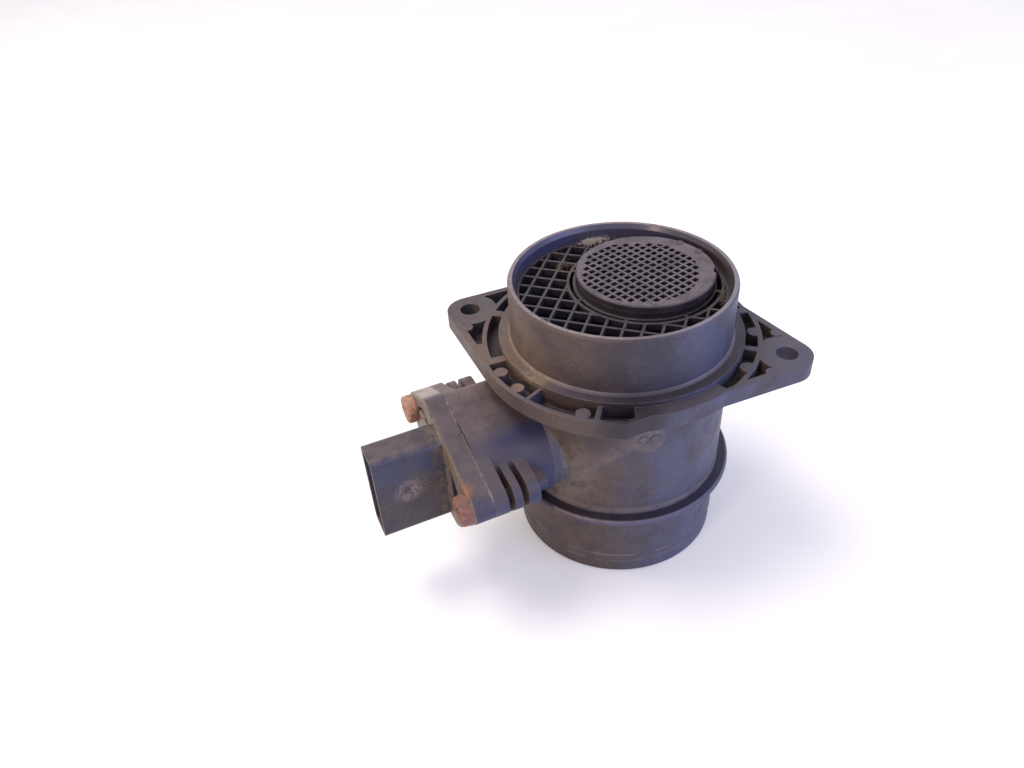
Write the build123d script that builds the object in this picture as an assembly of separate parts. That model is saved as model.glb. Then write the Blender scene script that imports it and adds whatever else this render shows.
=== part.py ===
from build123d import *
import os
from math import cos, sin, radians, hypot, sqrt

# Plug-in mass airflow sensor, in millimetres.
# Origin: centre of the outlet end face.  +Z runs up the duct towards the inlet.
# +X runs through the right-hand hole of the flange.

# ---------------------------------------------------------------- duct
duct_bore_radius = 32.0
spigot_wall = 3.0
spigot_length = 27.0
spigot_edge = 0.8            # chamfer that leads the hose on
bead_height = 7.4            # low bead that grips the hose
bead_width = 1.2
bead_rise = 0.2
stop_ring_width = 4.0
stop_ring_thickness = 2.4
stop_ring_edge = 0.7
body_wall = 3.4
body_length = 42.8
foot_chamfer = 0.8           # where spigot and collar leave a wider part
shoulder_width = 3.8
shoulder_height = 1.5
collar_wall = 2.4
collar_length = 20.8         # from the top of the flange to the rim
cup_depth = 7.3              # from the rim to the seat of the grille
seat_width = 1.0
rim_edge = 0.8

# ---------------------------------------------------------------- flange
flange_thickness = 5.6
flange_hole_radius = 3.4
hole_offset = 12.7           # the flange's sizes are set out from the edge of the shoulder
ear_radius = 7.8
side_offset = 2.4            # to the straight sides
front_offset = 7.1           # to the round front and the clipped far corner
middle_offset = 4.2
front_end_angle = 286.0
front_solid_span = (204.0, 330.0)         # no pockets outside the groove at the front
back_solid_span = (60.0, 120.0)           # nor at the back
front_flat_inset = 2.0       # the round front is cut off flat a little inside its radius
pocket_depth = 4.3
flange_wall = 1.4
ear_wall = 2.2
groove_width = 3.9
arc_wall_thickness = 1.5
ear_pad_radius = 9.1
# cored groove between shoulder and arc wall: start and end angle of each pocket
side_groove_spans = ((-31, -1.4), (1.6, 28), (32, 74), (106, 146), (150, 162), (165, 178), (182.4, 215))
front_groove_spans = ((219, 245.2), (246.6, 273.4), (275.4, 288.5), (77, 103))
# round pads that the ejector pins press on: angle, distance from the shoulder's edge, radius
ejector_pads = ((12.9, 3.2, 2.3), (-13.5, 3.2, 2.4), (225.6, 3.8, 2.2), (238.3, 4.0, 2.0),
                (268.7, 4.0, 2.2), (192.1, 10.9, 2.0), (12.3, 9.9, 1.8), (-12.2, 10.2, 1.9))

# ---------------------------------------------------------------- boss for the plug-in element
# Its own directions: u outwards from the duct axis, t to the right as seen from outside, z up.
sensor_azimuth = 223.0
sensor_rise = 15.8           # of the element's axis over the stop ring
boss_reach = 23.0            # from the body to the face that the element's plate bears on
boss_start = 16.0            # where the boss is drawn from, well inside the duct
pad_thickness = 4.4
slot_width = 2.0
rib_thickness = 2.6
second_rib_thickness = 3.9
root_thickness = 3.9
root_inset = 3.6
plug_bore_radius = 13.2
lead_in = 0.8
# outline of plate and pad: t, z and radius of each round corner
far_ear = (-24.0, 8.1, 5.4)
near_ear = (24.0, 4.1, 5.4)
top_corner = (-9.5, 15.2, 5.4)
low_corners = ((8.0, -13.0, 5.4), (-6.0, -13.0, 5.4))
plate_corners = (far_ear, near_ear, top_corner, *low_corners)
rib_corners = ((-24.0, 7.2, 5.4), near_ear, *low_corners)             # the ribs stand out at the ears only
neck_corners = ((-9.5, 15.2, 5.2), (3.2, 1.2, 16.3), (-6.5, 0.8, 16.0), (6.0, -11.0, 5.4), (-6.0, -12.0, 5.4))

# ---------------------------------------------------------------- plug-in element
plate_thickness = 7.0
plate_edge = 0.7
shell_width = 11.4
shell_height = 33.0
shell_length = 23.1
shell_corner = 2.8
shell_wall = 1.4
socket_depth = 19.5
plug_clearance = 0.1
plug_length = 16.4
seal_inset = 8.0             # from the bearing face to the seal's groove
seal_groove_width = 2.8
seal_groove_depth = 2.2
seal_side_gap = 0.1
finger_reach = 11.6          # of the tip beyond the axis of the measuring tube
finger_height = 22.0
finger_thickness = 11.0
finger_corner = 1.5
chamber_inset = 17.4         # from the bearing face to the circuit chamber
chamber_length = 29.0
chamber_height = 18.4
pocket_floor = -2.6          # t of the floor of chamber and channel
cover_thickness = 1.2
cover_ledge = 0.9
cover_gap = 1.0              # rib left between the two covers
channel_width = 4.6
channel_pitch = 8.7          # between the legs of the channel
channel_shift = 2.6          # of the middle leg from the axis of the measuring tube
channel_turn = 5.6           # how far from the element's axis the legs turn
plate_pocket_depth = 2.5
plate_pocket_radius = 1.6
far_pocket = ((-12.5, 14.2), (-17.5, 11.6), (-10.0, 13.0))       # t, z of its corners
near_pocket = ((10.0, 6.0), (13.0, 1.5), (10.0, -4.0))

# ---------------------------------------------------------------- what the element holds
terminal_count = 5
terminal_pitch = 5.0
terminal_width = 2.8
terminal_thickness = 0.8
terminal_reach = 13.5        # free length in the socket
terminal_inner_pitch = 3.3
terminal_inner_width = 1.2
terminal_inner_reach = 1.4
terminal_bend_start = 1.0    # from the bearing face inwards
terminal_bend_end = 4.0      # from the chamber outwards
carrier_thickness = 1.5
carrier_margin = 0.2
tongue_width = 5.6
tongue_overhang = 2.4        # of the tongue past the measuring leg
board_thickness = 0.8
board_length = 21.0
board_height = 16.0
board_inset = 4.0            # from the near end of the chamber
chip_size = 5.2
chip_thickness = 1.2
chip_drop = 1.5
capacitor_length = 3.2
capacitor_width = 1.6
capacitor_thickness = 1.4
capacitor_spots = ((-7.0, 4.5), (0.0, 5.5), (7.0, 4.5))          # from the board's middle
sensor_chip_length = 3.6
sensor_chip_width = 2.6
sensor_chip_thickness = 0.5
bead_recess_length = 10.0
bead_recess_height = 7.0
bead_recess_depth = 2.2
bead_recess_inset = 10.0     # from the near end of the chamber
thermistor_radius = 1.0
thermistor_length = 2.4
thermistor_lead_radius = 0.3
thermistor_lead_grip = 2.0

# ---------------------------------------------------------------- screws
screw_head_radius = 4.7
screw_head_height = 3.0
screw_head_edge = 0.8
screw_radius = 1.95
screw_length = 16.0
screw_clearance = 0.35
drive_size = 3.6             # across the points of the six-pointed drive
drive_depth = 1.7

# ---------------------------------------------------------------- inner tube, grille and screen
guard_ring_radius = 24.5     # it touches the wall of the cup on the side away from the element
guard_ring_width = 0.9
bore_shift = 2.1             # the tube's bore lies this much nearer the element than its flange
tube_ledge = 0.2             # least width that the flange stands out over the tube
tube_wall = 1.0
tube_drop = 21.2             # of the tube's foot below the element's axis
window_clearance = 0.3
grille_depth = 2.5
grille_ring_width = 1.1
grille_pitch = 5.55
grille_bar = 0.8
hub_wall = 1.1
hub_shift = 0.3
spoke_count = 8
spoke_width = 1.1
tube_flange_radius = 21.7
tube_flange_thickness = 2.0
screen_thickness = 2.2
screen_web = 1.2
screen_edge = 0.4
screen_long_pitch = 2.78
screen_short_pitch = 2.49
screen_bar = 0.75
screen_bar_angle = 56.5
screen_field_shift = (0.0, -0.4)
screen_rim_width = 0.7
screen_rim_depth = 1.6
notch_width = 2.9
notch_depth = 0.9
notch_angle = 11.4

# ---------------------------------------------------------------- worked out
spigot_radius = duct_bore_radius + spigot_wall
body_radius = duct_bore_radius + body_wall
stop_ring_radius = spigot_radius + stop_ring_width
stop_ring_top = spigot_length + stop_ring_thickness
cup_radius = duct_bore_radius + seat_width
collar_radius = cup_radius + collar_wall
shoulder_radius = collar_radius + shoulder_width
flange_underside = stop_ring_top + body_length
flange_top = flange_underside + flange_thickness
shoulder_top = flange_top + shoulder_height
total_height = flange_top + collar_length
grille_seat_height = total_height - cup_depth

hole_half_spacing = shoulder_radius + hole_offset
side_distance = shoulder_radius + side_offset
front_radius = shoulder_radius + front_offset
middle_radius = shoulder_radius + middle_offset
arc_wall_inner = shoulder_radius + groove_width
arc_wall_outer = arc_wall_inner + arc_wall_thickness

sensor_height = stop_ring_top + sensor_rise
pad_face = body_radius + boss_reach
rim_1 = pad_face - pad_thickness - slot_width          # outer face of the first rib
rim_2 = rim_1 - rib_thickness - slot_width             # outer face of the second rib
plate_face = pad_face + plate_thickness
shell_end = plate_face + shell_length
plug_radius = plug_bore_radius - plug_clearance
groove_root = plug_radius - seal_groove_depth

tube_offset = cup_radius - guard_ring_radius           # of the screen, away from the element
tube_radius = tube_flange_radius - bore_shift - tube_ledge
tube_bore_radius = tube_radius - tube_wall
tube_axis_u = bore_shift - tube_offset
tube_foot = sensor_height - tube_drop
grille_top = grille_seat_height + grille_depth
tube_flange_top = grille_top + tube_flange_thickness
hub_radius = tube_radius + bore_shift + hub_wall - hub_shift

finger_tip = tube_axis_u - finger_reach
channel_middle = tube_axis_u + channel_shift
channel_legs = (channel_middle - channel_pitch, channel_middle, channel_middle + channel_pitch)
chamber_end = pad_face - chamber_inset
chamber_start = chamber_end - chamber_length
board_start = chamber_start + board_inset
lid_floor = finger_thickness / 2 - cover_thickness
carrier_face = pocket_floor + carrier_thickness
board_face = carrier_face + board_thickness


def polar(angle, distance):
    """Point at an angle and distance from the duct axis."""
    return distance * cos(radians(angle)), distance * sin(radians(angle))


def to_element(shape):
    """Turn a shape drawn with u along X to where the element is."""
    return Rot(0, 0, sensor_azimuth) * shape


def section_at(u):
    """Sketch plane across the element at u: x is t, y is height over the element's axis."""
    return Plane(origin=(u, 0, sensor_height), x_dir=(0, 1, 0), z_dir=(1, 0, 0))


def across(sketch, u_from, u_to):
    """Solid with this cross section between two places along u."""
    return extrude(section_at(u_from) * sketch, u_to - u_from)


def side_at(t):
    """Sketch plane along the element at t: x is u, y is height over the element's axis."""
    return Plane(origin=(0, t, sensor_height), x_dir=(1, 0, 0), z_dir=(0, -1, 0))


def along(sketch, t_from, t_to):
    """Solid with this side view between two places along t."""
    return extrude(side_at(t_to) * sketch, t_to - t_from)


def hull_of(circles):
    """Face bounded by the tight outline round some circles (x, y, radius)."""
    edges = [(Pos(x, y) * Circle(r)).edge() for x, y, r in circles]
    return make_hull(edges)


def ring_sector(inner, outer, start, end):
    """Part of a flat ring between two angles."""
    arc_out = CenterArc((0, 0), outer, start, end - start)
    arc_in = CenterArc((0, 0), inner, start, end - start)
    side_a = Line(arc_in @ 0, arc_out @ 0)
    side_b = Line(arc_in @ 1, arc_out @ 1)
    return make_face([arc_out, side_b, arc_in, side_a])


def outline_of(corners, inset=0.0):
    """Outline round some corners of the boss, moved in by the inset."""
    return hull_of([(t, z, r - inset) for t, z, r in corners])


# ---------------------------------------------------------------- housing
def duct_profile():
    """Half section of everything on the housing that is round."""
    foot = foot_chamfer
    edge = rim_edge
    ring_edge = stop_ring_edge
    outside = [
        (duct_bore_radius, 0),
        (spigot_radius - spigot_edge, 0),
        (spigot_radius, spigot_edge),
        (spigot_radius, bead_height - bead_width / 2),
        (spigot_radius + bead_rise, bead_height),
        (spigot_radius, bead_height + bead_width / 2),
        (spigot_radius, spigot_length - foot),
        (spigot_radius + foot, spigot_length),
        (stop_ring_radius - ring_edge, spigot_length),
        (stop_ring_radius, spigot_length + ring_edge),
        (stop_ring_radius, stop_ring_top - ring_edge),
        (stop_ring_radius - ring_edge, stop_ring_top),
        (body_radius, stop_ring_top),
        (body_radius, flange_top),
        (shoulder_radius, flange_top),
        (shoulder_radius, shoulder_top),
        (collar_radius + foot, shoulder_top),
        (collar_radius, shoulder_top + foot),
        (collar_radius, total_height - edge),
        (collar_radius - edge / 2, total_height),
    ]
    inside = [
        (cup_radius + edge, total_height),
        (cup_radius, total_height - 2 * edge),
        (cup_radius, grille_seat_height),
        (duct_bore_radius, grille_seat_height),
    ]
    return Polygon(*outside, *inside, align=None)


def flange_outline(inset=0.0):
    """Rhombus with round ears, its near corner rounded out to meet the left ear."""
    lean = (side_distance - ear_radius) / hole_half_spacing      # cosine of the side's normal
    distance = side_distance - inset
    half_long = distance / lean
    half_short = distance / sqrt(1 - lean * lean)
    rhombus = Polygon((half_long, 0), (0, half_short), (-half_long, 0), (0, -half_short), align=None)
    ends = rhombus.vertices().filter_by(lambda v: abs(v.Y) < 1)
    rhombus = fillet(ends, ear_radius - inset)
    front = front_radius - inset
    flat = front - front_flat_inset
    rhombus = rhombus & (Circle(front) + Rectangle(4 * front, 2 * flat))
    left_ear = (-hole_half_spacing, 0, ear_radius - inset)
    bulge = hull_of([(0, 0, front), left_ear])
    bulge = bulge & ring_sector(1, 3 * front, 180, front_end_angle)
    return rhombus + Circle(middle_radius - inset) + bulge


def flange_pockets():
    """Cored pockets in the top of the flange."""
    inside = flange_outline(flange_wall)
    ears = flange_outline(ear_wall) - Circle(arc_wall_outer)
    groove = Sketch() + [ring_sector(shoulder_radius, arc_wall_inner, a, b) for a, b in side_groove_spans]
    groove += [ring_sector(shoulder_radius, front_radius - flange_wall, a, b)
               for a, b in front_groove_spans]
    for start, end in (front_solid_span, back_solid_span):
        ears -= ring_sector(1, front_radius, start, end)
    for side in (-1, 1):
        ears -= Pos(side * hole_half_spacing, 0) * Circle(ear_pad_radius)
    pockets = (groove & inside) + ears
    for angle, offset, radius in ejector_pads:
        pockets -= Pos(*polar(angle, shoulder_radius + offset)) * Circle(radius)
    return pockets


def make_flange():
    body = Pos(0, 0, flange_underside) * extrude(flange_outline(), flange_thickness)
    body -= Pos(0, 0, flange_top - pocket_depth) * extrude(flange_pockets(), pocket_depth)
    for side in (-1, 1):
        body -= Pos(side * hole_half_spacing, 0, flange_underside + flange_thickness / 2) * \
            Cylinder(flange_hole_radius, 2 * flange_thickness)
    return body


def make_boss():
    """Neck, bearing pad and the two ribs behind it, still without the bore."""
    boss = across(outline_of(neck_corners), boss_start, pad_face)
    boss += across(outline_of(plate_corners), pad_face - pad_thickness, pad_face)
    rib = outline_of(rib_corners)
    boss += across(rib, rim_1 - rib_thickness, rim_1)
    boss += across(rib, rim_2 - second_rib_thickness, rim_2)
    root_outer = rim_2 - second_rib_thickness
    boss += across(outline_of(rib_corners, root_inset), root_outer - root_thickness, root_outer)
    return boss


def make_housing():
    round_part = revolve(Plane.XZ * duct_profile(), Axis.Z)
    core = Pos(0, 0, total_height / 2) * Cylinder(duct_bore_radius, 2 * total_height)
    solid = round_part + (make_flange() - core) + (to_element(make_boss()) - core)
    bore = across(Circle(plug_bore_radius), boss_start, pad_face)
    bore_mouth = pad_face - lead_in
    taper = loft([section_at(bore_mouth) * Circle(plug_bore_radius),
                  section_at(pad_face) * Circle(plug_bore_radius + lead_in)])
    solid -= to_element(bore + taper)
    screw_end = plate_face - screw_length
    for t, z, _ in (far_ear, near_ear):
        solid -= to_element(across(Pos(t, z) * Circle(screw_radius), screw_end, pad_face))
    return solid


# ---------------------------------------------------------------- grille, inner tube and screen
def make_grille():
    """Coarse lattice with its outer ring, the guard ring round the tube, spokes and hub."""
    opening = Circle(cup_radius - grille_ring_width)
    reach = 2 * cup_radius
    count = int(cup_radius // grille_pitch)
    lines = [k * grille_pitch for k in range(-count, count + 1)]
    bars = Sketch() + [Pos(x, 0) * Rectangle(grille_bar, reach) for x in lines]
    bars += [Pos(0, y) * Rectangle(reach, grille_bar) for y in lines]
    centre = Pos(*polar(sensor_azimuth, -tube_offset))
    guard_hole = centre * Circle(guard_ring_radius - guard_ring_width)
    lattice = (bars & opening) + (centre * Circle(guard_ring_radius) & Circle(cup_radius))
    lattice -= guard_hole
    spokes = Sketch() + [centre * Rot(0, 0, sensor_azimuth + k * 360 / spoke_count)
                         * Pos(guard_ring_radius / 2, 0) * Rectangle(guard_ring_radius, spoke_width)
                         for k in range(spoke_count)]
    hub = Pos(*polar(sensor_azimuth, hub_shift - tube_offset)) * Circle(hub_radius)
    lattice += (spokes & (centre * Circle(guard_ring_radius - guard_ring_width / 2))) + hub
    lattice -= Pos(*polar(sensor_azimuth, tube_axis_u)) * Circle(tube_radius)
    lattice += Circle(cup_radius) - opening
    return Pos(0, 0, grille_seat_height) * extrude(lattice, grille_depth)


def make_inner_tube():
    """Tube whose bore lies off the centre of its flange, with the window for the finger."""
    bore_place = Pos(*polar(sensor_azimuth, tube_axis_u))
    flange_place = Pos(*polar(sensor_azimuth, -tube_offset))
    tube = extrude(bore_place * Circle(tube_radius), tube_flange_top - tube_foot)
    top = extrude(flange_place * Circle(tube_flange_radius), tube_flange_thickness)
    tube = Pos(0, 0, tube_foot) * tube + Pos(0, 0, grille_top) * top
    tube -= Pos(0, 0, tube_foot) * extrude(bore_place * Circle(tube_bore_radius), total_height)
    window = RectangleRounded(finger_thickness + 2 * window_clearance,
                              finger_height + 2 * window_clearance, finger_corner)
    return tube - to_element(across(window, 0, duct_bore_radius))


def screen_steps(reach, pitch):
    """Whole numbers of a pitch to either side of the middle."""
    count = int(reach // pitch)
    return range(-count, count + 1)


def make_screen():
    """Cap with a round field of square holes."""
    place = Pos(*polar(sensor_azimuth, -tube_offset))
    field_place = Pos(*polar(sensor_azimuth, tube_axis_u))
    field = Circle(tube_bore_radius)
    top = tube_flange_top + screen_thickness
    cap = Pos(0, 0, tube_flange_top) * extrude(place * Circle(tube_flange_radius), screen_thickness)
    cap = chamfer(cap.edges().group_by(Axis.Z)[-1], screen_edge)
    rim_outer = field_place * Circle(tube_bore_radius)
    rim_inner = field_place * Circle(tube_bore_radius - screen_rim_width)
    cap += Pos(0, 0, tube_flange_top - screen_rim_depth) * extrude(rim_outer, screen_rim_depth)
    hollow = screen_thickness - screen_web + screen_rim_depth
    cap -= Pos(0, 0, tube_flange_top - screen_rim_depth) * extrude(rim_inner, hollow)
    reach = tube_bore_radius
    long_steps = [k * screen_long_pitch for k in screen_steps(reach, screen_long_pitch)]
    short_steps = [k * screen_short_pitch for k in screen_steps(reach, screen_short_pitch)]
    shift_x, shift_y = screen_field_shift
    cell = Rectangle(screen_long_pitch - screen_bar, screen_short_pitch - screen_bar)
    holes = [Rot(0, 0, screen_bar_angle) * Pos(x + shift_x, y + shift_y) * cell
             for x in long_steps for y in short_steps if hypot(x, y) <= reach]
    holes = field_place * (Sketch() + holes & field)
    cap -= Pos(0, 0, top - 2 * screen_web) * extrude(holes, 3 * screen_web)
    notch = place * Rot(0, 0, notch_angle) * Pos(tube_flange_radius, 0) * \
        Rectangle(2 * notch_depth, notch_width)
    return cap - Pos(0, 0, tube_flange_top) * extrude(notch, 2 * screen_thickness)


# ---------------------------------------------------------------- plug-in element
def channel_path():
    """Centre line of the measuring channel: in at the top, down, up past the chip, out below."""
    first, second, third = channel_legs
    edge = finger_height
    turn = (second - first) / 2
    with BuildLine() as path:
        Line((first, edge), (first, -channel_turn + turn))
        ThreePointArc((first, -channel_turn + turn), ((first + second) / 2, -channel_turn),
                      (second, -channel_turn + turn))
        Line((second, -channel_turn + turn), (second, channel_turn - turn))
        rise = (third - second) / 2
        ThreePointArc((second, channel_turn - turn), ((second + third) / 2, channel_turn - turn + rise),
                      (third, channel_turn - turn))
        Line((third, channel_turn - turn), (third, -edge))
    return path.line


def chamber_sketch():
    middle = chamber_start + chamber_length / 2
    return Pos(middle, 0) * RectangleRounded(chamber_length, chamber_height, finger_corner)


def cover_sketches():
    """Outlines of the lids over channel and circuit chamber."""
    height = chamber_height + 2 * cover_ledge
    split = chamber_start - cover_ledge
    channel_from = finger_tip + cover_ledge
    channel_to = split - cover_gap
    circuit_to = chamber_end + cover_ledge
    lids = []
    for start, end in ((channel_from, channel_to), (split, circuit_to)):
        lids.append(Pos((start + end) / 2, 0) * RectangleRounded(end - start, height, finger_corner))
    return lids


def terminal_sketch(index):
    """Side view of one terminal, wide in the socket and stepped down to the circuit."""
    row = index - (terminal_count - 1) / 2
    outer, inner = row * terminal_pitch, row * terminal_inner_pitch
    wide, thin = terminal_width / 2, terminal_inner_width / 2
    floor = shell_end - socket_depth
    tip = floor + terminal_reach
    point = wide / 2
    bend_out = pad_face - terminal_bend_start
    bend_in = chamber_end + terminal_bend_end
    end = chamber_end - terminal_inner_reach
    return Polygon((end, inner - thin), (bend_in, inner - thin), (bend_out, outer - wide),
                   (tip - point, outer - wide), (tip, outer - wide / 2), (tip, outer + wide / 2),
                   (tip - point, outer + wide), (bend_out, outer + wide), (bend_in, inner + thin),
                   (end, inner + thin), align=None)


def make_terminal(index):
    half = terminal_thickness / 2
    return to_element(along(terminal_sketch(index), -half, half))


def carrier_sketch():
    length = chamber_length - 2 * carrier_margin - terminal_inner_reach
    plate = Pos(chamber_start + carrier_margin + length / 2, 0) * \
        Rectangle(length, chamber_height - 2 * carrier_margin)
    tongue_tip = channel_legs[-1] - tongue_overhang
    reach = chamber_start + 2 * carrier_margin - tongue_tip
    return plate + Pos(tongue_tip + reach / 2, 0) * Rectangle(reach, tongue_width)


def make_sensor_body():
    plate = across(outline_of(plate_corners), pad_face, plate_face)
    plate = chamfer(plate.faces().sort_by(Axis.X)[-1].outer_wire().edges(), plate_edge)
    shell = RectangleRounded(shell_width, shell_height, shell_corner)
    socket = RectangleRounded(shell_width - 2 * shell_wall, shell_height - 2 * shell_wall,
                              shell_corner - shell_wall)
    body = plate + across(shell, pad_face, shell_end)
    body -= across(socket, shell_end - socket_depth, shell_end)
    body += across(Circle(plug_radius), pad_face - plug_length, pad_face)
    finger = RectangleRounded(finger_thickness, finger_height, finger_corner)
    body += across(finger, finger_tip, pad_face)
    groove_start = pad_face - seal_inset
    body -= across(Circle(plug_radius) - Circle(groove_root), groove_start,
                   groove_start + seal_groove_width)
    body -= along(chamber_sketch(), pocket_floor, finger_thickness)
    body -= along(trace(channel_path(), channel_width), pocket_floor, lid_floor)
    for lid in cover_sketches():
        body -= along(lid, lid_floor, finger_thickness)
    body -= along(carrier_sketch(), pocket_floor, carrier_face)
    half = terminal_thickness / 2
    for index in range(terminal_count):
        body -= along(terminal_sketch(index), -half, half)
    for t, z, _ in (far_ear, near_ear):
        body -= across(Pos(t, z) * Circle(screw_radius + screw_clearance), pad_face, plate_face)
    body -= across(plate_pockets(), plate_face - plate_pocket_depth, plate_face)
    recess = Rectangle(bead_recess_length, bead_recess_height)
    body -= along(Pos(bead_recess_start() + bead_recess_length / 2, 0) * recess,
                  -finger_thickness, bead_recess_depth - finger_thickness / 2)
    return to_element(body - thermistor_leads())


def plate_pockets():
    """Two cored pockets in the plate's outer face, between the shell and the ears."""
    pockets = [hull_of([(t, z, plate_pocket_radius) for t, z in corners])
               for corners in (far_pocket, near_pocket)]
    return Sketch() + pockets


def bead_recess_start():
    return chamber_start + bead_recess_inset


def thermistor_leads():
    """Two wires from the bead into the end wall of its recess."""
    depth = bead_recess_depth / 2 - finger_thickness / 2
    start = bead_recess_start() + thermistor_radius + thermistor_length
    end = bead_recess_start() + bead_recess_length + thermistor_lead_grip
    wire = Circle(thermistor_lead_radius)
    wires = [Pos(depth, side * thermistor_radius / 2) * wire for side in (-1, 1)]
    return across(Sketch() + wires, start, end)


def make_thermistor():
    """Bead on two leads that come out of the end of its recess."""
    depth = bead_recess_depth / 2 - finger_thickness / 2
    start = bead_recess_start() + thermistor_radius
    bead = across(Pos(depth, 0) * Circle(thermistor_radius), start, start + thermistor_length)
    return to_element(bead + thermistor_leads())


def make_covers():
    return [to_element(along(lid, lid_floor, finger_thickness / 2)) for lid in cover_sketches()]


def make_seal():
    """Rubber ring, squeezed between the groove and the bore."""
    start = pad_face - seal_inset + seal_side_gap
    width = seal_groove_width - 2 * seal_side_gap
    ring = across(Circle(plug_bore_radius) - Circle(groove_root), start, start + width)
    return to_element(ring)


def make_carrier():
    return to_element(along(carrier_sketch(), pocket_floor, carrier_face))


def on_board(length, width, thickness, x, z):
    """A flat part that stands on the circuit board, x and z from the board's middle."""
    middle = board_start + board_length / 2
    return to_element(along(Pos(middle + x, z) * Rectangle(length, width), board_face,
                            board_face + thickness))


def make_board():
    board = Pos(board_start + board_length / 2, 0) * Rectangle(board_length, board_height)
    return to_element(along(board, carrier_face, board_face))


def make_sensor_chip():
    chip = Pos(channel_legs[-1], 0) * Rectangle(sensor_chip_length, sensor_chip_width)
    return to_element(along(chip, carrier_face, carrier_face + sensor_chip_thickness))


def make_screw():
    """Screw with a six-pointed drive along u, its head's underside at 0."""
    head = across(Circle(screw_head_radius), 0, screw_head_height)
    head = chamfer(head.edges().sort_by(Axis.X)[-1], screw_head_edge)
    triangle = RegularPolygon(drive_size / 2, 3)
    star = triangle + Rot(0, 0, 180) * triangle
    head -= across(star, screw_head_height - drive_depth, screw_head_height)
    return head + across(Circle(screw_radius), -screw_length, 0)


def make_screws():
    screw = make_screw()
    return Compound([to_element(Pos(plate_face, t, z) * screw) for t, z, _ in (far_ear, near_ear)])


def main():
    os.makedirs("parts", exist_ok=True)
    channel_cover, circuit_cover = make_covers()
    nodes = {
        "housing": make_housing(),
        "inlet_grille": make_grille(),
        "inner_tube": make_inner_tube(),
        "dirt_screen": make_screen(),
        "sensor_body": make_sensor_body(),
        "sensor_seal": make_seal(),
        "sensor_screws": make_screws(),
        "channel_cover": channel_cover,
        "circuit_cover": circuit_cover,
        "carrier_plate": make_carrier(),
        "circuit_board": make_board(),
        "evaluation_chip": on_board(chip_size, chip_size, chip_thickness, 0, -chip_drop),
        "sensor_chip": make_sensor_chip(),
        "air_temperature_sensor": make_thermistor(),
    }
    for number, (x, z) in enumerate(capacitor_spots, start=1):
        nodes[f"capacitor_{number}"] = on_board(capacitor_length, capacitor_width,
                                                capacitor_thickness, x, z)
    for index in range(terminal_count):
        nodes[f"terminal_{index + 1}"] = make_terminal(index)
    for name, shape in nodes.items():
        export_step(shape, f"parts/{name}.step")


main()
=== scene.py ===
# %% [markdown]
# # A used mass airflow sensor
# The part arrives from CAD as a fixed frame: every moulding, screw and blade is already in its
# place, in metres.  Blender adds what a drawing can't hold: the skin of old glass-filled nylon,
# road dust in the grooves, rust on two steel screws and fluff caught in the inlet grille.

# %% Load the frame
import math
import random

import bpy
from mathutils import Matrix, Vector


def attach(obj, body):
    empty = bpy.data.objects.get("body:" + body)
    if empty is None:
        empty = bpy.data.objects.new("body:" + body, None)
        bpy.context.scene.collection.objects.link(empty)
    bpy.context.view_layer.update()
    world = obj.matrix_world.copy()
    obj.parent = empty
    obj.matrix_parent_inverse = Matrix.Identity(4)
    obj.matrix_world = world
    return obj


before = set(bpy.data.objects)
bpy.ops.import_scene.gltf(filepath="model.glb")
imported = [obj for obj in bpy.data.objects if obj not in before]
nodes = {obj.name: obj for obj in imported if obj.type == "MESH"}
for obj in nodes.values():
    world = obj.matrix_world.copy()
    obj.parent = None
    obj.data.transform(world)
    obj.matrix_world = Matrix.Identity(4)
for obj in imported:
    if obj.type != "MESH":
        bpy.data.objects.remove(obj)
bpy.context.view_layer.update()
MM = 0.001
print("nodes:", len(nodes))

# %% [markdown]
# ## Directions and places
# The plug-in element leaves the duct at an angle, so its own directions come first: `outward`
# along the connector, `across` towards its near screw, and up.  A point of the element is easier to
# name in those than in X and Y.  The heights and radii of the duct are the drawing's, in
# millimetres, so that dirt can be laid just where one form meets the next.

# %% Directions and places
element_azimuth = math.radians(223)
outward = Vector((math.cos(element_azimuth), math.sin(element_azimuth), 0))
across = Vector((-math.sin(element_azimuth), math.cos(element_azimuth), 0))
up = Vector((0, 0, 1))

stop_ring_top = 29.4
flange_top = 77.8
shoulder_top = 79.3
duct_top = 98.6
duct_radius = 35.4
shoulder_radius = 39.2
cup_radius = 33.0
screw_seats = {"far": (-24.0, 53.3), "near": (24.0, 49.3)}  # across and up


def element_point(out, side, z):
    """A point of the element in metres, from millimetres outward, across and up."""
    return (outward * out + across * side + up * z) * MM


def polar_point(azimuth, radius, z):
    """A point round the duct in metres, from degrees and millimetres."""
    angle = math.radians(azimuth)
    return Vector((radius * math.cos(angle), radius * math.sin(angle), z)) * MM


print("outward", [round(value, 3) for value in outward])

# %% [markdown]
# ## Camera
# The part stands on its outlet and is seen from above, a bit to the right of its front.  The three
# directions of the camera are square to each other, so they are the columns of its matrix.

# %% Camera
camera_data = bpy.data.cameras.new("camera")
camera_data.sensor_width = 36
camera_data.lens = 28.125
camera = bpy.data.objects.new("camera", camera_data)
bpy.context.collection.objects.link(camera)
camera_place = Vector((0.0427, -0.2116, 0.2257))
camera_forward = Vector((-0.2820, 0.7346, -0.6172)).normalized()
camera_right = Vector((0.9467, 0.3176, -0.0546))
camera_right = (camera_right - camera_forward * camera_right.dot(camera_forward)).normalized()
camera_up = camera_right.cross(camera_forward)
turn = Matrix((camera_right, camera_up, -camera_forward)).transposed()
camera.matrix_world = Matrix.Translation(camera_place) @ turn.to_4x4()
bpy.context.scene.camera = camera
bpy.context.scene.view_settings.view_transform = "Standard"
print("camera", [round(value, 4) for value in camera.location])

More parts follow.
